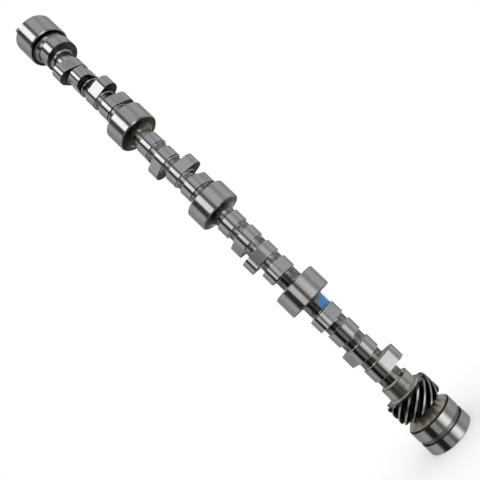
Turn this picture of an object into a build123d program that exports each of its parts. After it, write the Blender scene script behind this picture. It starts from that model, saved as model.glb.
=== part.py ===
from build123d import *
import os

# Camshaft of an overhead-valve V8: five bearing journals, sixteen roller-lifter lobes, a fuel pump
# eccentric behind the front journal and a helical distributor gear ahead of the rear one, all cut
# from one steel bar, with a dowel pin pressed into the nose.
# The shaft stands on its rear face, centred on Z, with +Z towards the timing gear.
# +X runs from the axis to the dowel pin, and angles are counted anticlockwise as seen from the front.
# Lengths are in mm and angles in degrees.

# --- Engine layout ---
BORE_SPACING = 122.94        # from one pair of cylinders to the next, 4.84 in
FIRING_ORDER = (1, 8, 4, 3, 6, 5, 7, 2)
BANK_ANGLE = 90.0
LOBE_SEPARATION = 110.0      # from an exhaust nose to the intake nose of the same cylinder
FIRST_EXHAUST_ANGLE = -8.0   # nose of cylinder 1's exhaust lobe, counted from the dowel pin

# --- Bearing journals ---
JOURNAL_RADIUS = 23.725      # 1.868 in across
FRONT_JOURNAL_WIDTH = 25.35
INNER_JOURNAL_WIDTH = 23.5
REAR_JOURNAL_WIDTH = 25.25
REAR_BAY = 178.6             # from the rear face to the middle of the nearest inner journal
FRONT_BAY = 149.545          # from the middle of the last inner journal to the front one's
JOURNAL_EDGE = 1.15
END_EDGE = 0.6               # at the shaft's two end faces
FLARE_REACH = 4.8            # flare at the foot of a journal's face, outwards and along the shaft
FLARE_LENGTH = 4.65
JOURNAL_FOOT = 1.5           # bevel behind the journal that has no flare, and ahead of the collar

# --- Oil groove of the rear journal ---
GROOVE_WIDTH = 4.4
GROOVE_DEPTH = 1.6
GROOVE_OFFSET = 10.1         # from the rear face to the groove's near wall

# --- Core and lobes ---
CORE_RADIUS = 11.55
BASE_RADIUS = 13.43
EXHAUST_LIFT = 9.05
INTAKE_LIFT = 8.87
NOSE_RADIUS = 10.2
LOBE_WIDTH = 13.0
BANK_OFFSET = 21.5           # from an odd cylinder's lobe back to its even neighbour's
VALVE_OFFSET = 43.7          # from a cylinder's front lobe back to its rear one
REAR_ROW_OFFSET = -64.7      # from the nearest inner journal back to the last four lobes
ROW_OFFSETS = (62.8, 59.1, 62.3)  # from each inner journal forwards to the four lobes ahead of it

# --- Fuel pump eccentric and the neck in front of it ---
ECCENTRIC_RADIUS = 18.95
ECCENTRIC_OFFSET = 3.0
ECCENTRIC_ANGLE = 97.0
ECCENTRIC_WIDTH = 11.8
NECK_RADIUS = 15.9
NECK_LENGTH = 8.75

# --- Distributor gear and its collar ---
GEAR_TEETH = 13
GEAR_RADIUS = 23.6
GEAR_LEAD = 95.8             # right-handed
GEAR_WIDTH = 18.0
GEAR_EDGE = 1.1
TOOTH_DEPTH = 4.2
GAP_TOP_WIDTH = 4.7          # across a tooth gap at the gear's outside, square to the teeth
GAP_ROOT_WIDTH = 1.5
GAP_RUNOUT = 3.0             # how far the hob travels past each end of the teeth
COLLAR_RADIUS = 14.95
COLLAR_REAR_LENGTH = 8.45    # between the rear journal and the gear
COLLAR_FRONT_LENGTH = 13.3   # ahead of the gear
COLLAR_FOOT = 1.6            # bevel between the collar and the gear's front

# --- Nose ---
BOLT_CIRCLE_RADIUS = 15.875  # 1.25 in bolt circle, shared by the dowel pin
BOLT_COUNT = 3
BOLT_HOLE_RADIUS = 3.35      # core of a 5/16 in thread
BOLT_HOLE_DEPTH = 22.0
PIN_RADIUS = 3.175           # 1/4 in
PIN_LENGTH = 20.0
PIN_PROUD = 8.0
PIN_EDGE = 0.6
PIN_RELIEF_WIDTH = 0.8       # groove round the pin where it leaves its hole, so the gear seats flat
PIN_RELIEF_DEPTH = 0.3
CENTRE_RADIUS = 2.4
CENTRE_MOUTH_RADIUS = 5.2
CENTRE_DEPTH = 12.0

gear_rear = REAR_JOURNAL_WIDTH + COLLAR_REAR_LENGTH
gear_front = gear_rear + GEAR_WIDTH
collar_front = gear_front + COLLAR_FRONT_LENGTH
inner_journals = [REAR_BAY + i * BORE_SPACING for i in range(3)]
inner_journal_rears = [middle - INNER_JOURNAL_WIDTH / 2 for middle in inner_journals]
front_journal_rear = inner_journals[-1] + FRONT_BAY - FRONT_JOURNAL_WIDTH / 2
length = front_journal_rear + FRONT_JOURNAL_WIDTH
eccentric_rear = front_journal_rear - NECK_LENGTH - ECCENTRIC_WIDTH
rows = [middle + offset for middle, offset in zip(inner_journals, ROW_OFFSETS)]
rows = [inner_journals[0] + REAR_ROW_OFFSET] + rows


def valve_lobes():
    """List each lobe as its middle's height, its nose angle and whether it is an intake."""
    lobes = []
    for row, centre in enumerate(reversed(rows)):
        for bank in range(2):
            cylinder = 2 * row + bank + 1
            fired = FIRING_ORDER.index(cylinder)
            exhaust = FIRST_EXHAUST_ANGLE + fired * 360 / len(FIRING_ORDER) + bank * BANK_ANGLE
            for is_intake in (False, True):
                # the exhaust lobe leads in the first and third rows, and the intake in the others
                is_rear = is_intake == (row % 2 == 0)
                height = centre + (0.5 - is_rear) * VALVE_OFFSET + (0.5 - bank) * BANK_OFFSET
                lobes.append((height, exhaust + is_intake * LOBE_SEPARATION, is_intake))
    return lobes


def band(radius, low, high):
    """Add one turned diameter, from the axis out, to the shaft's half section."""
    with Locations((0, low)):
        Rectangle(radius, high - low, align=(Align.MIN, Align.MIN))


def flare(radius, face, side):
    """Draw the flare from a diameter of the shaft up to a journal's face; side is -1 at its rear."""
    with BuildSketch() as filling:
        with BuildLine():
            sweep_out = EllipticalCenterArc(
                (radius + FLARE_REACH, face + side * FLARE_LENGTH),
                FLARE_REACH,
                FLARE_LENGTH,
                start_angle=90 if side < 0 else 180,
                arc_size=90,
            )
            Polyline(sweep_out @ 0, (radius, face), sweep_out @ 1)
        make_face()
    return filling.sketch


def corners(sketch, radius, heights):
    """Find the corners of the half section that lie at a radius, one for each height."""
    at_radius = sketch.vertices().filter_by(lambda v: abs(v.X - radius) < 1e-4)
    return [at_radius.sort_by(lambda v: abs(v.Y - h))[0] for h in heights]


def lobe_solid(lift):
    """Make one lobe: a base circle and a nose circle joined by two straight flanks."""
    with BuildPart() as lobe:
        with BuildSketch():
            Circle(BASE_RADIUS)
            with Locations((BASE_RADIUS + lift - NOSE_RADIUS, 0)):
                Circle(NOSE_RADIUS)
            make_hull()
        extrude(amount=LOBE_WIDTH / 2, both=True)
    return lobe.part


# --- The turned shaft: one half section, revolved ---
with BuildPart() as turned:
    with BuildSketch(Plane.XZ) as section:
        band(CORE_RADIUS, 0, length)
        band(JOURNAL_RADIUS, 0, REAR_JOURNAL_WIDTH)
        band(COLLAR_RADIUS, 0, collar_front)
        band(GEAR_RADIUS - TOOTH_DEPTH, gear_rear, gear_front)
        for low in inner_journal_rears:
            band(JOURNAL_RADIUS, low, low + INNER_JOURNAL_WIDTH)
        band(NECK_RADIUS, eccentric_rear, front_journal_rear)
        band(JOURNAL_RADIUS, front_journal_rear, length)
        with Locations((JOURNAL_RADIUS - GROOVE_DEPTH, GROOVE_OFFSET)):
            Rectangle(
                GROOVE_DEPTH, GROOVE_WIDTH, align=(Align.MIN, Align.MIN), mode=Mode.SUBTRACT
            )
        for face in inner_journal_rears[1:]:
            add(flare(CORE_RADIUS, face, -1))
        add(flare(NECK_RADIUS, front_journal_rear, -1))
        add(flare(COLLAR_RADIUS, REAR_JOURNAL_WIDTH, 1))
        chamfer(corners(section, CORE_RADIUS, [inner_journal_rears[0], collar_front]), JOURNAL_FOOT)
        chamfer(corners(section, COLLAR_RADIUS, [gear_front]), COLLAR_FOOT)
        journal_fronts = [low + INNER_JOURNAL_WIDTH for low in inner_journal_rears]
        journal_faces = [REAR_JOURNAL_WIDTH, front_journal_rear] + inner_journal_rears + journal_fronts
        chamfer(corners(section, JOURNAL_RADIUS, journal_faces), JOURNAL_EDGE)
        chamfer(corners(section, JOURNAL_RADIUS, [0, length]), END_EDGE)
    revolve(axis=Axis.Z)

# --- One gap of the helical gear: a hob's tooth form swept along its helix ---
with BuildPart() as tooth_gap:
    with BuildLine() as helix:
        Helix(
            pitch=GEAR_LEAD,
            height=GEAR_WIDTH + 2 * GAP_RUNOUT,
            radius=GEAR_RADIUS,
            center=(0, 0, gear_rear - GAP_RUNOUT),
        )
    start = Plane(origin=helix.line @ 0, x_dir=(1, 0, 0), z_dir=helix.line % 0)
    with BuildSketch(start):
        slope = (GAP_TOP_WIDTH - GAP_ROOT_WIDTH) / TOOTH_DEPTH
        over = GEAR_EDGE
        with BuildLine():
            Polyline(
                (over, -GAP_TOP_WIDTH / 2 - over * slope / 2),
                (-TOOTH_DEPTH, -GAP_ROOT_WIDTH / 2),
                (-TOOTH_DEPTH, GAP_ROOT_WIDTH / 2),
                (over, GAP_TOP_WIDTH / 2 + over * slope / 2),
                close=True,
            )
        make_face()
    sweep(path=helix.line, is_frenet=True)

with BuildPart() as gear:
    with Locations((0, 0, gear_rear)):
        Cylinder(GEAR_RADIUS, GEAR_WIDTH, align=(Align.CENTER, Align.CENTER, Align.MIN))
    chamfer(gear.edges().filter_by(GeomType.CIRCLE), GEAR_EDGE)
    with PolarLocations(0, GEAR_TEETH):
        add(tooth_gap.part, mode=Mode.SUBTRACT)

# --- The finished shaft ---
exhaust_lobe = lobe_solid(EXHAUST_LIFT)
intake_lobe = lobe_solid(INTAKE_LIFT)
with BuildPart() as camshaft:
    add(turned.part)
    for height, angle, is_intake in valve_lobes():
        with Locations(Location((0, 0, height), (0, 0, angle))):
            add(intake_lobe if is_intake else exhaust_lobe)
    with Locations(Location((0, 0, eccentric_rear), (0, 0, ECCENTRIC_ANGLE))):
        with Locations((ECCENTRIC_OFFSET, 0, 0)):
            Cylinder(
                ECCENTRIC_RADIUS,
                ECCENTRIC_WIDTH,
                align=(Align.CENTER, Align.CENTER, Align.MIN),
            )
    add(gear.part)
    with Locations(Plane.XY.offset(length)):
        CounterSinkHole(CENTRE_RADIUS, CENTRE_MOUTH_RADIUS, CENTRE_DEPTH, 60)
        with PolarLocations(BOLT_CIRCLE_RADIUS, BOLT_COUNT, start_angle=180 / BOLT_COUNT):
            Hole(BOLT_HOLE_RADIUS, BOLT_HOLE_DEPTH)
        with Locations((BOLT_CIRCLE_RADIUS, 0)):
            Hole(PIN_RADIUS, PIN_LENGTH - PIN_PROUD)
    with Locations(Plane.XY.rotated((180, 0, 0))):
        CounterSinkHole(CENTRE_RADIUS, CENTRE_MOUTH_RADIUS, CENTRE_DEPTH, 60)
camshaft.part.label = "camshaft"

# --- The dowel pin, pressed in to the bottom of its hole ---
with BuildPart() as dowel_pin:
    with Locations((BOLT_CIRCLE_RADIUS, 0, length + PIN_PROUD - PIN_LENGTH)):
        Cylinder(PIN_RADIUS, PIN_LENGTH, align=(Align.CENTER, Align.CENTER, Align.MIN))
    chamfer(dowel_pin.faces().sort_by(Axis.Z)[-1].edge(), PIN_EDGE)
    with BuildSketch(Plane.XY.offset(length)):
        with Locations((BOLT_CIRCLE_RADIUS, 0)):
            Circle(PIN_RADIUS)
            Circle(PIN_RADIUS - PIN_RELIEF_DEPTH, mode=Mode.SUBTRACT)
    extrude(amount=PIN_RELIEF_WIDTH, mode=Mode.SUBTRACT)
dowel_pin.part.label = "dowel_pin"

os.makedirs("parts", exist_ok=True)
for piece in (camshaft, dowel_pin):
    export_step(piece.part, f"parts/{piece.part.label}.step")
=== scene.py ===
import math

import bpy
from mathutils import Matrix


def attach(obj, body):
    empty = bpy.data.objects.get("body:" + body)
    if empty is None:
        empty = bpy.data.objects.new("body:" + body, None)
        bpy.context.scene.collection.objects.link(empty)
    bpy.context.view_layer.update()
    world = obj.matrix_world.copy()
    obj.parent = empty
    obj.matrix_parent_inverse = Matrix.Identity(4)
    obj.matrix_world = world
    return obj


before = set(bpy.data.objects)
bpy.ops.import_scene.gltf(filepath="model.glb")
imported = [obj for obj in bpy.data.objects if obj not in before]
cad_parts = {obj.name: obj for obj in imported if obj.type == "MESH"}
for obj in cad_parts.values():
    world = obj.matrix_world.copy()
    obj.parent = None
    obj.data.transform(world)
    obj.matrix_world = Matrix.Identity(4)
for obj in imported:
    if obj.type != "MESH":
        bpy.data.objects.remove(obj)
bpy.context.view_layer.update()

# A one-piece steel camshaft for a V8, standing on its rear face, with a dowel pin in its nose.
# The scene is in metres. Sizes of the shaft are in millimetres, with heights from its foot, and
# bearings are in degrees, anticlockwise as seen from the nose.
scene = bpy.context.scene


# ---------------------------------------------------------------------------------------------
# Camshaft: five bearing journals, sixteen lobes, a pump eccentric and a helical gear, all cut
# from one steel bar. Journals and lobes are ground, the rest is as the lathe left it, and the
# gear's gaps are painted nearly black as painted shade. A dab of blue marking paint lies ahead of
# the last row of lobes.
# ---------------------------------------------------------------------------------------------
MM_PER_METRE = 1000.0

# sizes, and the lowest and highest place of what lies along the shaft
CORE_RADIUS = 11.55
COLLAR_RADIUS = 14.95
SHAFT_LENGTH = 586.7
END_BEVEL = 0.6
COLLAR_SPAN = (25.25, 65.0)
GEAR_SPAN = (33.7, 51.7)
GROOVE_SPAN = (10.1, 14.5)
REAR_BEVEL_SPAN = (24.0, 25.4)  # the front bevel of the rear journal, painted black as a dark reflection
LOBE_ROWS = (113.9, 241.4, 360.64, 486.78)
LOBE_HALF_WIDTH = 6.5
VALVE_HALF_OFFSET = 21.85
BANK_HALF_OFFSET = 10.75

# the radii between which one finish gives way to another
CORE_FADE = (CORE_RADIUS + 0.3, CORE_RADIUS + 1.2)
LOBE_FADE = (12.5, 13.0)
FILLET_FADE = (14.5, 14.8)
# painted shade: the painted dark band stops below the collar's radius
SHADE_BAND_FADE = (COLLAR_RADIUS + 0.1, COLLAR_RADIUS + 0.4)
COLLAR_FADE = (17.2, 17.5)
BEVEL_FADE = (22.475, 22.675)
GEAR_LAND_FADE = (22.95, 23.15)
GROOVE_FADE = (23.3, 23.5)

# how much of a surface's normal lies along the shaft: none on its sides, and all on flat faces
FILLET_LEAN = (0.12, 0.3)
BEVEL_LEAN = (0.6, 0.8)
FLAT_LEAN = (0.9, 0.97)

# ground steel and turned steel, each with its share of coarse marks
GROUND_STEEL_DARK = (0.26, 0.26, 0.262, 1)
GROUND_STEEL_LIGHT = (0.33, 0.33, 0.33, 1)
GROUND_COARSENESS = 0.45
# the lobes' edges: worn, and lighter with a painted glint where a chamfer would shine
WORN_EDGE_AND_GLINT = (0.42, 0.42, 0.41, 1)
WORN_EDGE_AND_GLINT_SPAN = (LOBE_HALF_WIDTH - 0.3, LOBE_HALF_WIDTH + 0.02)  # from a lobe's middle
TURNED_GREY = (0.25, 0.245, 0.235, 1)
TURNED_COARSENESS = 0.5
# the flat faces are painted much darker than turned steel, as painted shade for the dark they mirror
CHEEK_DARK = (0.05, 0.048, 0.044, 1)
CHEEK_LIGHT = (0.13, 0.128, 0.122, 1)
COLLAR_DARK = (0.165, 0.16, 0.15, 1)
COLLAR_LIGHT = (0.27, 0.265, 0.25, 1)
LIGHTER_COLLAR_STEEL = (0.45, 0.435, 0.405, 1)
COLLAR_LIGHTENING_DEPTH = 0.6
CORE_DARK = (0.06, 0.058, 0.052, 1)
CORE_LIGHT = (0.27, 0.265, 0.25, 1)
CORE_COARSENESS = 0.35
LIT_CORE_SPAN = (525.0, 541.0)  # painted light: the core behind the eccentric is painted lighter
FILLET_STEEL = (0.34, 0.335, 0.32, 1)
GROOVE_FLOOR = (0.15, 0.15, 0.152, 1)
# painted shade: the oil groove's wall is painted black
GROOVE_WALL_SHADE = (0.008, 0.008, 0.008, 1)
JOURNAL_BEVEL = (0.27, 0.27, 0.265, 1)
GEAR_BEVEL = (0.06, 0.058, 0.054, 1)
# painted shade: the gear's gaps are painted nearly black
GAP_SHADE = (0.012, 0.012, 0.012, 1)

# painted shade: towards the foot the core is painted darker, and a dark band is painted down
# one side of it
LOW_SHADE_SPAN = (52.0, 205.0)
LOW_SHADE_DEPTH = 0.25
SHADED_FLARE_SPAN = (280.0, 420.0)  # the two middle flares, painted darker on one side as shade
FLARE_SHADE_DEPTH = 0.85
SPAN_SOFTNESS = 5.0
CORNER_SHADE_SPAN = (LOBE_HALF_WIDTH + 0.2, LOBE_HALF_WIDTH + 1.4)  # painted shade beside a lobe's cheek
CORNER_SHADE_DEPTH = 0.75
# painted shade: the dark of the painted band and shaded flares, and the band's depth on core and lobes
PAINTED_SHADE_DARK = (0.02, 0.02, 0.018, 1)
SHADE_BAND_ON_CORE = (0.75, 1.0)
SHADE_BAND_ON_LOBES = 0.7
# painted reflection: black for the rear journal's front bevel and the nose journal's rear ring
DARK_REFLECTION_BLACK = (0.02, 0.02, 0.02, 1)

# the flares, and how much their stains and marks change them
SMOKED_GREY = (0.115, 0.112, 0.107, 1)
OILED_GREY = (0.22, 0.222, 0.205, 1)
STRAW = (0.155, 0.132, 0.093, 1)
DULL_STRAW = (0.38, 0.345, 0.265, 1)
DUSTY_STRAW = (0.22, 0.20, 0.165, 1)
SMOKED_STRAW = (0.25, 0.232, 0.21, 1)
BROWNED = (0.055, 0.05, 0.042, 1)
FLARES = (  # span of height, colour of the curve, colour of the flat ring round it
    ((24.1, 33.5), DULL_STRAW, DUSTY_STRAW),
    ((283.9, 290.9), SMOKED_STRAW, SMOKED_GREY),
    ((406.8, 413.9), STRAW, BROWNED),
    # painted reflection: the nose journal's ring is painted black
    ((556.2, 562.5), OILED_GREY, DARK_REFLECTION_BLACK),
)
FLARE_STAIN = 0.6
FLARE_MARKS = 0.4
PAST_REAR_FLARE = (34.0, 40.0)  # from here up the flares are smoother

# the dab of paint, whose near edge draws back by so many degrees for each millimetre of height
PAINT_MIDDLE = 115.0
PAINT_HALF_SPAN = 73.0
PAINT_SPAN = (153.0, 168.5)
PAINT_SLOPE_START = 155.7
PAINT_SLOPE = 3.2
PAINT_WOBBLE = 6.0
NEAR_EDGE_SOFTNESS = 1.5
FAR_EDGE_SOFTNESS = 2.0
MARKING_BLUE = (0.045, 0.25, 0.58, 1)
MARKING_BLUE_THIN = (0.03, 0.17, 0.40, 1)

# the sides that differ: their bearings, counted from the middle of the paint
# painted shade: the side down which a dark band is painted on the core
SHADE_RUN = (-112.0, -70.0)
SHADE_RUN_SOFTNESS = 12.0
# painted shade: the side on which the two middle flares are painted darker
FLARE_SHADE_SIDE = (-175.0, -98.0)
FLARE_SHADE_SIDE_SOFTNESS = 14.0
COLLAR_DARK_SIDE = (-114.0, -44.0)  # the side on which the collar keeps its darker tone; elsewhere it is lighter
COLLAR_DARK_SOFTNESS = 5.0

# roughness of each finish
GROUND_ROUGH = 0.10
GROUND_ROUGH_SPREAD = 0.03
FACED_ROUGH = 0.36
CORE_ROUGH = (0.26, 0.18)
COLLAR_ROUGH = 0.38
GEAR_ROUGH = 0.3
GAP_ROUGH = 0.33
GROOVE_ROUGH = 0.3
FILLET_ROUGH = 0.2
REAR_FLARE_ROUGH = 0.29
FLARE_ROUGH = 0.17
FLARE_RING_ROUGH = 0.3
PAINT_ROUGH = 0.42
STEEL_TINT = (0.6, 0.6, 0.6, 1)

# the marks and stains: lines in a millimetre, sizes across in millimetres, and the spans of noise
# that go from dark to light
FINE_LINES = 2.6
COARSE_LINES = 0.9
MARK_CONTRAST = (0.25, 0.75)
STAIN_SIZE = 5.0
HAZE_SIZE = 28.0
PATCH_CONTRAST = (0.35, 0.65)
RELIEF_COARSENESS = 0.5
GROUND_RELIEF = 0.35  # how deep the marks on ground steel are, beside turned steel's
MARK_DEPTH = 0.00002  # in metres
MARK_STRENGTH = 0.5


class Nodes:
    """Adds nodes to a material's or group's tree and joins them."""

    def __init__(self, tree):
        self.tree = tree

    def put(self, kind, inputs=None, **settings):
        node = self.tree.nodes.new(kind)
        for name, value in settings.items():
            setattr(node, name, value)
        for name, value in (inputs or {}).items():
            self.feed(node.inputs[name], value)
        return node

    def feed(self, socket, value):
        if isinstance(value, bpy.types.NodeSocket):
            self.tree.links.new(value, socket)
        else:
            socket.default_value = value

    def math(self, operation, a, b=None, c=None):
        node = self.put("ShaderNodeMath", operation=operation)
        for i, value in enumerate((a, b, c)):
            if value is not None:
                self.feed(node.inputs[i], value)
        return node.outputs[0]

    def step(self, value, low, high, start=0.0, end=1.0):
        """Rise smoothly from start to end as the value goes from low to high."""
        node = self.put("ShaderNodeMapRange", interpolation_type="SMOOTHSTEP")
        for name, given in (
            ("Value", value), ("From Min", low), ("From Max", high), ("To Min", start), ("To Max", end)
        ):
            self.feed(node.inputs[name], given)
        return node.outputs["Result"]

    def within(self, value, span, soft=0.1):
        """Be 1 where the value lies inside the span, and 0 outside it."""
        rise = self.step(value, span[0] - soft, span[0] + soft)
        fall = self.below(value, (span[1] - soft, span[1] + soft))
        return self.math("MULTIPLY", rise, fall)

    def below(self, value, span):
        """Fall smoothly from 1 at the span's low end to 0 at its high end."""
        return self.step(value, *span, 1.0, 0.0)

    def invert(self, mask):
        return self.math("SUBTRACT", 1.0, mask)

    def both(self, *masks):
        """Keep what lies in every one of the masks."""
        result = masks[0]
        for mask in masks[1:]:
            result = self.math("MULTIPLY", result, mask)
        return result

    def mix(self, factor, a, b):
        node = self.put("ShaderNodeMix", data_type="RGBA")
        self.feed(node.inputs[0], factor)
        self.feed(node.inputs[6], a)
        self.feed(node.inputs[7], b)
        return node.outputs[2]

    def blend(self, factor, a, b):
        node = self.put("ShaderNodeMix", data_type="FLOAT")
        self.feed(node.inputs[0], factor)
        self.feed(node.inputs[2], a)
        self.feed(node.inputs[3], b)
        return node.outputs[0]

    def scaled(self, vector, factor):
        return self.put("ShaderNodeVectorMath", {0: vector, "Scale": factor}, operation="SCALE").outputs[0]


def new_material(name):
    material = bpy.data.materials.new(name)
    material.use_nodes = True
    tree = material.node_tree
    tree.nodes.clear()
    return material, Nodes(tree)


def finish_steel(n, colour, metal, rough, height, strength, distance):
    """Join the values to a steel's shader. height, strength and distance are those of its relief."""
    bump = n.put("ShaderNodeBump", {"Height": height, "Strength": strength, "Distance": distance})
    steel = n.put(
        "ShaderNodeBsdfPrincipled",
        {
            "Base Color": colour,
            "Metallic": metal,
            "Roughness": rough,
            "Specular Tint": STEEL_TINT,
            "Normal": bump.outputs[0],
        },
    )
    n.put("ShaderNodeOutputMaterial", {"Surface": steel.outputs[0]})


def dress(node, material):
    """Give a solid its better material."""
    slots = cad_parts[node].data.materials
    slots.clear()
    slots.append(material)


def new_group(name, inputs, outputs):
    """Start a node group. inputs and outputs: pairs of a socket's name and its type."""
    group = bpy.data.node_groups.new(name, "ShaderNodeTree")
    for sockets, side in ((inputs, "INPUT"), (outputs, "OUTPUT")):
        for socket_name, kind in sockets:
            group.interface.new_socket(name=socket_name, in_out=side, socket_type=f"NodeSocket{kind}")
    inside = Nodes(group)
    given = inside.put("NodeGroupInput").outputs
    result = inside.put("NodeGroupOutput").inputs
    return group, inside, given, result


# Fine rings that a lathe or grinding wheel leaves round an axis. Along is the place across the
# rings, and Lines is how many lie in a millimetre.
tool_marks, n, given, result = new_group(
    "tool_marks", [("Position", "Vector"), ("Along", "Float"), ("Lines", "Float")], [("Tone", "Float")]
)
flat = n.put("ShaderNodeVectorMath", {0: given["Position"], 1: (1, 1, 0)}, operation="MULTIPLY")
around = n.put("ShaderNodeVectorMath", {0: flat.outputs[0]}, operation="NORMALIZE")
across = n.put("ShaderNodeCombineXYZ", {"Z": n.math("MULTIPLY", given["Along"], given["Lines"])})
ring = n.put("ShaderNodeVectorMath", {0: around.outputs[0], 1: across.outputs[0]}, operation="ADD")
grain = n.put("ShaderNodeTexNoise", {"Vector": ring.outputs[0], "Scale": 1.0, "Detail": 2.0})
n.feed(result["Tone"], n.step(grain.outputs[0], *MARK_CONTRAST))


def mark_tone(n, position, along, lines):
    inputs = {"Position": position, "Along": along, "Lines": lines}
    return n.put("ShaderNodeGroup", inputs, node_tree=tool_marks).outputs[0]


# Cloudy patches of dried oil and scale, about Size millimetres across.
patches, n, given, result = new_group(
    "patches", [("Position", "Vector"), ("Size", "Float")], [("Tone", "Float")]
)
cloud = n.put(
    "ShaderNodeTexNoise",
    {"Vector": given["Position"], "Scale": n.math("DIVIDE", 1.0, given["Size"]), "Detail": 4.0},
)
n.feed(result["Tone"], n.step(cloud.outputs[0], *PATCH_CONTRAST))


def patch_tone(n, position, size):
    return n.put("ShaderNodeGroup", {"Position": position, "Size": size}, node_tree=patches).outputs[0]


shaft_steel, n = new_material("shaft_steel")
place = n.put("ShaderNodeTexCoord")
position = n.scaled(place.outputs["Object"], MM_PER_METRE)
x, y, z = n.put("ShaderNodeSeparateXYZ", {"Vector": position}).outputs
facing = n.put("ShaderNodeSeparateXYZ", {"Vector": place.outputs["Normal"]})
endways = n.math("ABSOLUTE", facing.outputs["Z"])
radius = n.math("SQRT", n.math("ADD", n.math("MULTIPLY", x, x), n.math("MULTIPLY", y, y)))

# the bearing round the axis, counted from the middle of the paint
turned = n.put(
    "ShaderNodeVectorRotate", {"Vector": position, "Angle": math.radians(-PAINT_MIDDLE)}
).outputs[0]
turned_x, turned_y, _ = n.put("ShaderNodeSeparateXYZ", {"Vector": turned}).outputs
bearing = n.math("DEGREES", n.math("ARCTAN2", turned_y, turned_x))

# where each kind of surface lies
flat_end = n.step(endways, *FLAT_LEAN)
side = n.invert(flat_end)
inside_bevels = n.below(radius, BEVEL_FADE)
slanted = n.within(endways, BEVEL_LEAN, 0.05)
bevel = n.both(slanted, n.invert(inside_bevels))
rear_bevel = n.both(slanted, n.within(z, REAR_BEVEL_SPAN))
core = n.both(n.below(radius, CORE_FADE), side)
foot_end = n.below(z, (END_BEVEL, END_BEVEL + 0.2))
nose_end = n.step(z, SHAFT_LENGTH - END_BEVEL - 0.2, SHAFT_LENGTH - END_BEVEL)
shaft_end = n.math("ADD", foot_end, nose_end)
collar = n.both(n.within(z, COLLAR_SPAN), n.below(radius, COLLAR_FADE))
gear = n.within(z, GEAR_SPAN)
gap = n.both(gear, n.below(radius, GEAR_LAND_FADE), side)
groove = n.both(n.within(z, GROOVE_SPAN, 0.15), n.below(radius, GROOVE_FADE))

# how far along the shaft it is to the middle of the nearest lobe
to_lobe = SHAFT_LENGTH
for row in LOBE_ROWS:
    to_valve = n.math("SUBTRACT", n.math("ABSOLUTE", n.math("SUBTRACT", z, row)), VALVE_HALF_OFFSET)
    to_bank = n.math("SUBTRACT", n.math("ABSOLUTE", to_valve), BANK_HALF_OFFSET)
    to_lobe = n.math("MINIMUM", to_lobe, n.math("ABSOLUTE", to_bank))
lobe_edge = n.both(n.within(to_lobe, WORN_EDGE_AND_GLINT_SPAN), side, n.step(radius, *LOBE_FADE))
# painted shade: the core is darkened next to each lobe's cheek
corner = n.below(to_lobe, CORNER_SHADE_SPAN)
past_collar = n.step(z, COLLAR_SPAN[1], COLLAR_SPAN[1] + 0.2)
fillet = n.both(n.step(endways, *FILLET_LEAN), side, n.below(radius, FILLET_FADE), past_collar)

# the marks run round the axis on the sides, and in rings on the flat ends
along = n.blend(flat_end, z, radius)
fine = mark_tone(n, position, along, FINE_LINES)
coarse = mark_tone(n, position, along, COARSE_LINES)
stain = patch_tone(n, position, STAIN_SIZE)
haze = patch_tone(n, position, HAZE_SIZE)
turned_tone = n.blend(TURNED_COARSENESS, stain, coarse)

# ground steel, flat faces, the core with its painted shade, the collar, and the painted band of
# shade down one side
# painted shade: the core is painted darker towards the foot
low_shade = n.within(z, LOW_SHADE_SPAN, SPAN_SOFTNESS)
# painted shade: the core is darkened beside the lobes and towards the foot
core_shade = n.math("MAXIMUM", n.math("MULTIPLY", corner, CORNER_SHADE_DEPTH), n.math("MULTIPLY", low_shade, LOW_SHADE_DEPTH))
core_tone = n.math("MULTIPLY", n.blend(CORE_COARSENESS, stain, coarse), n.invert(core_shade))
# the collar is made lighter all round but on one side
collar_dark_side = n.within(bearing, COLLAR_DARK_SIDE, COLLAR_DARK_SOFTNESS)
collar_lightening = n.math("MULTIPLY", n.invert(collar_dark_side), COLLAR_LIGHTENING_DEPTH)
collar_steel = n.mix(collar_lightening, n.mix(turned_tone, COLLAR_DARK, COLLAR_LIGHT), LIGHTER_COLLAR_STEEL)
# painted shade: a dark band painted down one side of the core towards the foot
shade_run = n.both(n.within(bearing, SHADE_RUN, SHADE_RUN_SOFTNESS), low_shade)
shade_band_depth = n.step(radius, *CORE_FADE, n.blend(stain, *SHADE_BAND_ON_CORE), SHADE_BAND_ON_LOBES)
shade_band = n.both(shade_run, side, shade_band_depth, n.below(radius, SHADE_BAND_FADE))
colour = n.mix(n.blend(GROUND_COARSENESS, fine, coarse), GROUND_STEEL_DARK, GROUND_STEEL_LIGHT)
# wear and a painted glint along the lobes' edges
colour = n.mix(lobe_edge, colour, WORN_EDGE_AND_GLINT)
# painted shade: the flat faces are painted dark
colour = n.mix(flat_end, colour, n.mix(turned_tone, CHEEK_DARK, CHEEK_LIGHT))
colour = n.mix(core, colour, n.mix(core_tone, CORE_DARK, CORE_LIGHT))
# painted light: the core behind the eccentric is painted as light as ground steel
colour = n.mix(n.both(core, n.within(z, LIT_CORE_SPAN)), colour, GROUND_STEEL_LIGHT)
colour = n.mix(n.both(collar, side), colour, collar_steel)
# painted shade: the dark band is painted on
colour = n.mix(shade_band, colour, PAINTED_SHADE_DARK)
colour = n.mix(fillet, colour, n.mix(stain, COLLAR_LIGHT, FILLET_STEEL))

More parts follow.
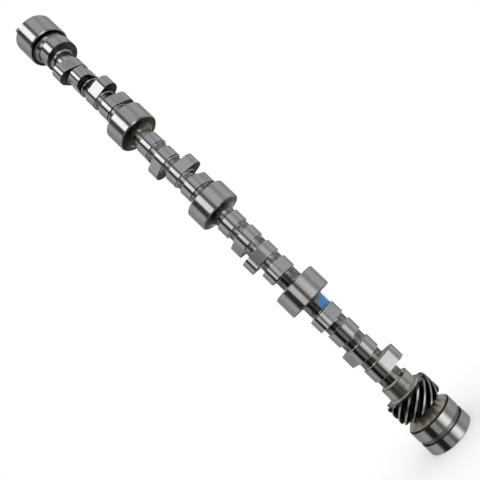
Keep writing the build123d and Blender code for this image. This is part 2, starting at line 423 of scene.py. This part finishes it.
# the flares, then the shaft's two ends, the gear's gaps painted nearly black as shade, the oil
# groove with its wall painted black as shade, and the bevels, the rear journal's front one
# painted black as a dark reflection
journal_face = 0.0
for span, curve_colour, ring_colour in FLARES:
    here = n.both(n.within(z, span, 0.15), inside_bevels)
    journal_face = n.math("ADD", journal_face, here)
    curve = n.mix(n.math("MULTIPLY", stain, FLARE_STAIN), curve_colour, SMOKED_GREY)
    ring = n.mix(n.math("MULTIPLY", coarse, FLARE_MARKS), ring_colour, CORE_DARK)
    colour = n.mix(here, colour, n.mix(flat_end, curve, ring))
# painted shade: the two middle flares are painted darker on one side
flare_shade_side = n.within(bearing, FLARE_SHADE_SIDE, FLARE_SHADE_SIDE_SOFTNESS)
flare_shade = n.both(journal_face, flare_shade_side, n.within(z, SHADED_FLARE_SPAN, SPAN_SOFTNESS))
colour = n.mix(n.math("MULTIPLY", flare_shade, FLARE_SHADE_DEPTH), colour, PAINTED_SHADE_DARK)
colour = n.mix(n.both(shaft_end, flat_end), colour, TURNED_GREY)
# painted shade: the gear's gaps are painted nearly black
colour = n.mix(gap, colour, GAP_SHADE)
# painted shade: the oil groove's wall is painted black
colour = n.mix(groove, colour, n.mix(flat_end, GROOVE_FLOOR, GROOVE_WALL_SHADE))
colour = n.mix(bevel, colour, n.mix(gear, JOURNAL_BEVEL, GEAR_BEVEL))
# painted reflection: the rear journal's front bevel is painted black
colour = n.mix(rear_bevel, colour, DARK_REFLECTION_BLACK)

# how rough each finish is
fine_spread = n.math("MULTIPLY", fine, GROUND_ROUGH_SPREAD)
haze_spread = n.math("MULTIPLY", haze, GROUND_ROUGH_SPREAD)
ground_rough = n.math("ADD", GROUND_ROUGH, n.math("ADD", fine_spread, haze_spread))
flare_rough = n.blend(flat_end, FLARE_ROUGH, FLARE_RING_ROUGH)
flare_rough = n.blend(n.step(z, *PAST_REAR_FLARE), REAR_FLARE_ROUGH, flare_rough)
rough = n.blend(flat_end, ground_rough, FACED_ROUGH)
rough = n.blend(core, rough, n.blend(stain, *CORE_ROUGH))
rough = n.blend(n.both(collar, side), rough, COLLAR_ROUGH)
rough = n.blend(gear, rough, GEAR_ROUGH)
rough = n.blend(fillet, rough, FILLET_ROUGH)
rough = n.blend(journal_face, rough, flare_rough)
rough = n.blend(gap, rough, GAP_ROUGH)
rough = n.blend(groove, rough, GROOVE_ROUGH)

# the dab of paint: its near edge slopes on its upper half, and both edges waver
wobble = n.math("MULTIPLY", n.math("SUBTRACT", stain, 0.5), PAINT_WOBBLE)
above_start = n.math("MAXIMUM", n.math("SUBTRACT", z, PAINT_SLOPE_START), 0.0)
drawn_back = n.math("MULTIPLY", above_start, PAINT_SLOPE)
near_edge = n.math("ADD", n.math("ADD", drawn_back, wobble), -PAINT_HALF_SPAN)
past_near_edge = n.step(n.math("SUBTRACT", bearing, near_edge), -NEAR_EDGE_SOFTNESS, NEAR_EDGE_SOFTNESS)
far_edge = (PAINT_HALF_SPAN - FAR_EDGE_SOFTNESS, PAINT_HALF_SPAN + FAR_EDGE_SOFTNESS)
short_of_far_edge = n.below(n.math("ADD", bearing, wobble), far_edge)
paint = n.both(past_near_edge, short_of_far_edge, n.within(z, PAINT_SPAN), core)
colour = n.mix(paint, colour, n.mix(haze, MARKING_BLUE_THIN, MARKING_BLUE))
rough = n.blend(paint, rough, PAINT_ROUGH)

# the marks' relief, shallower on ground steel and none on the flares
marked = n.both(n.blend(n.math("MAXIMUM", core, flat_end), GROUND_RELIEF, 1.0), n.invert(journal_face))
relief = n.math("MULTIPLY", n.blend(RELIEF_COARSENESS, fine, coarse), marked)
finish_steel(n, colour, n.invert(paint), rough, relief, MARK_STRENGTH, MARK_DEPTH)
dress("camshaft", shaft_steel)

# ---------------------------------------------------------------------------------------------
# Foot fillets: the small hollow curve that the tool's rounded corner leaves where the lobes'
# cheeks, the eccentric's rear cheek and the collar's front face rise from the bar, and where the
# gear's front face rises from the collar.
# ---------------------------------------------------------------------------------------------
FOOT_FILLET = 1.5
ECCENTRIC_REAR = 540.8
ECCENTRIC_FILLET = 2.6
FILLET_STEPS = 6
RING_SEGMENTS = 84
FILLET_SEAM = 0.01  # how far a fillet's two edges stand off the faces that they run out on


def fillet_ring(points, faces, foot_radius, face_height, side, size, reach=None, hollow=1.0):
    """Add one fillet. side is 1 where it lies above the face and -1 where it lies below. size is
    its length along the shaft, and reach its width outwards, where that differs. hollow: 1 for a
    round hollow, and 0 for a straight slope."""
    start = len(points)
    for i in range(FILLET_STEPS + 1):
        part = i / FILLET_STEPS
        turn = math.radians(90 * part)
        outwards = (1 - hollow) * part + hollow * (1 - math.cos(turn))
        outwards = foot_radius + FILLET_SEAM + (reach or size) * outwards
        lift = (1 - hollow) * (1 - part) + hollow * (1 - math.sin(turn))
        height = face_height + side * (FILLET_SEAM + size * lift)
        for j in range(RING_SEGMENTS):
            around = 2 * math.pi * j / RING_SEGMENTS
            place = (outwards * math.cos(around), outwards * math.sin(around), height)
            points.append([value / MM_PER_METRE for value in place])
    for i in range(FILLET_STEPS):
        for j in range(RING_SEGMENTS):
            a = start + i * RING_SEGMENTS + j
            b = start + i * RING_SEGMENTS + (j + 1) % RING_SEGMENTS
            loop = (a, b, b + RING_SEGMENTS, a + RING_SEGMENTS)
            faces.append(loop if side < 0 else loop[::-1])


def fillet_piece(name, points, faces):
    """Make a piece of the shaft's steel from the fillets added so far."""
    mesh = bpy.data.meshes.new(name)
    mesh.from_pydata(points, [], faces)
    mesh.shade_smooth()
    mesh.materials.append(shaft_steel)
    piece = bpy.data.objects.new(name, mesh)
    scene.collection.objects.link(piece)
    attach(piece, "root")


points = []
faces = []
for row in LOBE_ROWS:
    for valve in (-VALVE_HALF_OFFSET, VALVE_HALF_OFFSET):
        for bank in (-BANK_HALF_OFFSET, BANK_HALF_OFFSET):
            for side in (-1, 1):
                cheek = row + valve + bank + side * LOBE_HALF_WIDTH
                fillet_ring(points, faces, CORE_RADIUS, cheek, side, FOOT_FILLET)
fillet_ring(points, faces, CORE_RADIUS, ECCENTRIC_REAR, -1, ECCENTRIC_FILLET)
fillet_ring(points, faces, CORE_RADIUS, COLLAR_SPAN[1], 1, FOOT_FILLET)
fillet_ring(points, faces, COLLAR_RADIUS, GEAR_SPAN[1], 1, FOOT_FILLET)
fillet_piece("foot_fillets", points, faces)

# ---------------------------------------------------------------------------------------------
# Journal flares: the wide slopes, turned with a big round-nosed tool, that lead down from the
# rims of two journals' rear faces to the bar, and from the rim of the rear journal's front face
# to the collar. The last is almost straight.
# ---------------------------------------------------------------------------------------------
FLARE_RIM = 22.35
SECOND_JOURNAL_REAR = 412.73
THIRD_JOURNAL_REAR = 289.79
REAR_JOURNAL_FRONT = COLLAR_SPAN[0]
JOURNAL_FLARES = (  # radius of the foot, height of the face, side, length along the shaft, hollow
    (CORE_RADIUS, SECOND_JOURNAL_REAR, -1, 5.6, 1.0),
    (CORE_RADIUS, THIRD_JOURNAL_REAR, -1, 5.6, 1.0),
    (COLLAR_RADIUS, REAR_JOURNAL_FRONT, 1, 8.3, 0.22),
)

points = []
faces = []
for foot_radius, face_height, side, size, hollow in JOURNAL_FLARES:
    fillet_ring(points, faces, foot_radius, face_height, side, size, FLARE_RIM - foot_radius, hollow)
fillet_piece("journal_flares", points, faces)

# ---------------------------------------------------------------------------------------------
# Dowel pin: a hardened quarter-inch pin of ground steel, pressed into the nose to time the gear.
# Its marks are finer than the shaft's, and run round its own axis.
# ---------------------------------------------------------------------------------------------
PIN_OFFSET = 15.875
PIN_DARK = (0.15, 0.15, 0.152, 1)
PIN_LIGHT = (0.24, 0.24, 0.238, 1)
PIN_ROUGH = (0.14, 0.2)
PIN_LINES = 4.0
PIN_HAZE_SIZE = 3.0
PIN_MARK_DEPTH = 0.00001  # in metres
PIN_MARK_STRENGTH = 0.4

pin_steel, n = new_material("pin_steel")
place = n.put("ShaderNodeTexCoord")
position = n.scaled(place.outputs["Object"], MM_PER_METRE)
from_axis = n.put(
    "ShaderNodeVectorMath", {0: position, 1: (PIN_OFFSET, 0, 0)}, operation="SUBTRACT"
).outputs[0]
height = n.put("ShaderNodeSeparateXYZ", {"Vector": from_axis}).outputs["Z"]
fine = mark_tone(n, from_axis, height, PIN_LINES)
haze = patch_tone(n, from_axis, PIN_HAZE_SIZE)
colour = n.mix(fine, PIN_DARK, PIN_LIGHT)
finish_steel(n, colour, 1.0, n.blend(haze, *PIN_ROUGH), fine, PIN_MARK_STRENGTH, PIN_MARK_DEPTH)
dress("dowel_pin", pin_steel)

# ---------------------------------------------------------------------------------------------
# Floor: a pale seamless sheet under the shaft, which takes its soft shadow. The camera sees it as
# white, and the steel doesn't mirror it.
# ---------------------------------------------------------------------------------------------
FLOOR_SIZE = 12.0  # in metres
PAPER = (0.95, 0.95, 0.95, 1)
PAPER_LIFT = 0.09  # brings the sheet up to white where nothing shades it

bpy.ops.mesh.primitive_plane_add(size=FLOOR_SIZE, location=(0, 0, 0))
floor = bpy.context.object
floor.name = "floor"
floor.visible_glossy = False
paper, n = new_material("paper")
sheet = n.put("ShaderNodeBsdfDiffuse", {"Color": PAPER})
seen = n.put("ShaderNodeLightPath")
lift = n.put(
    "ShaderNodeEmission", {"Strength": n.math("MULTIPLY", seen.outputs["Is Camera Ray"], PAPER_LIFT)}
)
lit = n.put("ShaderNodeAddShader")
n.feed(lit.inputs[0], sheet.outputs[0])
n.feed(lit.inputs[1], lift.outputs[0])
n.put("ShaderNodeOutputMaterial", {"Surface": lit.outputs[0]})
floor.data.materials.append(paper)

# ---------------------------------------------------------------------------------------------
# Light: a white room with a tent of cloth panels round the shaft. Each panel glows or shades by
# its own amount at foot, waist and head, and its side edges fade into the room. The steel shows
# them as bands along the shaft.
# ---------------------------------------------------------------------------------------------
CAMERA_SIDE = 37.0  # bearing of the camera from the dowel pin, in degrees
PANEL_HEIGHTS = (-0.4, 0.35, 1.1)  # foot, waist and head, in metres
PANEL_SHOULDER = 1.65  # where a panel that widens downwards starts to
PANEL_TOP = 2.3
PANEL_HEM = -0.55  # lower edge, below which the ground shows
PANEL_STEPS = 24
APRON_HEIGHT = -1.45
APRON_REACH = 0.6  # how near the axis a panel's apron comes
CLOTH_HEIGHT = -1.5
CLOTH_REACH = 7.0
CLOTH_FADE = (1.6, 3.6)  # how far from the axis the ground cloth brightens
CLOTH_LEVELS = (0.3, 0.85)

world = bpy.data.worlds.new("room")
scene.world = world
world.use_nodes = True
world.node_tree.nodes["Background"].inputs["Color"].default_value = (1, 1, 1, 1)
world.node_tree.nodes["Background"].inputs["Strength"].default_value = 1.0


def cloth_panel(name, distance, span, fades, levels, tint=(1, 1, 1, 1), spread=(0, 0), apron=False):
    """Hang a curved panel. span: its two bearings from the camera's side, in degrees. fades: how
    far each side edge fades inwards. levels: how brightly it glows at foot, waist and head.
    spread: how many degrees further each side edge lies at its foot. apron: whether it also runs
    down to the ground and along it towards the shaft."""
    points = []
    faces = []
    ring = [(distance, PANEL_HEM), (distance, PANEL_TOP)]
    if apron:
        ring = [(APRON_REACH, APRON_HEIGHT), (distance, APRON_HEIGHT)] + ring
    first = span[0] - spread[0]
    width = span[1] - span[0] + sum(spread)
    for i in range(PANEL_STEPS + 1):
        turn = math.radians(CAMERA_SIDE + first + width * i / PANEL_STEPS)
        for reach, height in ring:
            points.append((reach * math.cos(turn), reach * math.sin(turn), height))
    rows = len(ring)
    for i in range(PANEL_STEPS):
        for j in range(rows - 1):
            corner = rows * i + j
            faces.append((corner, corner + rows, corner + rows + 1, corner + 1))
    mesh = bpy.data.meshes.new(name)
    mesh.from_pydata(points, [], faces)
    cloth, n = new_material(name)
    place = n.put("ShaderNodeTexCoord")
    # turned so that the panel's middle lies on X
    middle = math.radians(CAMERA_SIDE + sum(span) / 2)
    turned = n.put("ShaderNodeVectorRotate", {"Vector": place.outputs["Object"], "Angle": -middle})
    axes = n.put("ShaderNodeSeparateXYZ", {"Vector": turned.outputs[0]})
    bearing = n.math("DEGREES", n.math("ARCTAN2", axes.outputs["Y"], axes.outputs["X"]))
    up = axes.outputs["Z"]
    foot, waist, head = PANEL_HEIGHTS
    lowness = n.put(
        "ShaderNodeMapRange",
        {"Value": up, "From Min": foot, "From Max": PANEL_SHOULDER, "To Min": 1.0, "To Max": 0.0},
    ).outputs["Result"]
    half = (span[1] - span[0]) / 2
    past_first = n.math("ADD", bearing, n.math("MULTIPLY_ADD", lowness, spread[0], half))
    short_of_last = n.math("SUBTRACT", n.math("MULTIPLY_ADD", lowness, spread[1], half), bearing)
    left = n.step(past_first, 0.0, fades[0])
    right = n.step(short_of_last, 0.0, fades[1])
    level = levels[0]
    for low, high, start, end in ((foot, waist, levels[0], levels[1]), (waist, head, levels[1], levels[2])):
        change = n.put(
            "ShaderNodeMapRange",
            {"Value": up, "From Min": low, "From Max": high, "To Min": 0.0, "To Max": end - start},
        )
        level = n.math("ADD", level, change.outputs["Result"])
    glow = n.put("ShaderNodeEmission", {"Color": tint, "Strength": level})
    through = n.put("ShaderNodeBsdfTransparent")
    hung = n.put("ShaderNodeMixShader", {"Fac": n.math("MULTIPLY", left, right)})
    n.feed(hung.inputs[1], through.outputs[0])
    n.feed(hung.inputs[2], glow.outputs[0])
    n.put("ShaderNodeOutputMaterial", {"Surface": hung.outputs[0]})
    mesh.materials.append(cloth)
    panel = bpy.data.objects.new(name, mesh)
    panel.visible_camera = False
    panel.visible_diffuse = False
    scene.collection.objects.link(panel)


cloth_panel("strip_panel", 1.20, (-44, -5), (5, 6), (0.65, 1.65, 3.1))
cloth_panel("side_flag", 1.15, (-66, -38), (6, 6), (0.03, 0.07, 0.12), spread=(2, 8))
cloth_panel("camera_slot", 1.18, (-12, 16), (8, 14), (0.28, 0.24, 0.2))
cloth_panel("wash_panel", 1.25, (0, 58), (34, 24), (2.6, 1.3, 0.95), (1.0, 0.99, 0.97, 1), apron=True)
cloth_panel("upper_shade", 1.30, (46, 88), (14, 26), (0.55, 0.68, 0.74))
cloth_panel("left_shade", 1.35, (-160, -80), (30, 35), (0.75, 0.75, 0.75))
cloth_panel("right_shade", 1.35, (105, 160), (25, 25), (0.8, 0.8, 0.8))
cloth_panel("rear_strip", 1.30, (172, 188), (3, 3), (0.1, 1.2, 2.5))

bpy.ops.mesh.primitive_circle_add(
    vertices=64, radius=CLOTH_REACH, fill_type="NGON", location=(0, 0, CLOTH_HEIGHT)
)
ground = bpy.context.object
ground.name = "ground_cloth"
ground_cloth, n = new_material("ground_cloth")
place = n.put("ShaderNodeTexCoord")
away = n.put("ShaderNodeVectorMath", {0: place.outputs["Object"]}, operation="LENGTH")
shine = n.step(away.outputs["Value"], *CLOTH_FADE, *CLOTH_LEVELS)
sheet = n.put("ShaderNodeEmission", {"Strength": shine})
n.put("ShaderNodeOutputMaterial", {"Surface": sheet.outputs[0]})
ground.data.materials.append(ground_cloth)
ground.visible_camera = False
ground.visible_diffuse = False

# ---------------------------------------------------------------------------------------------
# Camera: level with the shaft's lower half and near to it, and rolled so that the shaft lies from
# corner to corner with its nose at the top left.
# ---------------------------------------------------------------------------------------------
CAMERA_PLACE = (0.35844, 0.28071, 0.16886)
CAMERA_TURN = (105.4947, 45.1652, 138.0720)  # degrees about X, Y and Z

camera_data = bpy.data.cameras.new("camera")
camera_data.lens = 35.3085
camera_data.sensor_width = 36.0
camera_data.shift_x = -0.02311
camera_data.shift_y = -0.02138
camera = bpy.data.objects.new("camera", camera_data)
camera.location = CAMERA_PLACE
camera.rotation_euler = [math.radians(turn) for turn in CAMERA_TURN]
scene.collection.objects.link(camera)
scene.camera = camera
scene.view_settings.view_transform = "Standard"
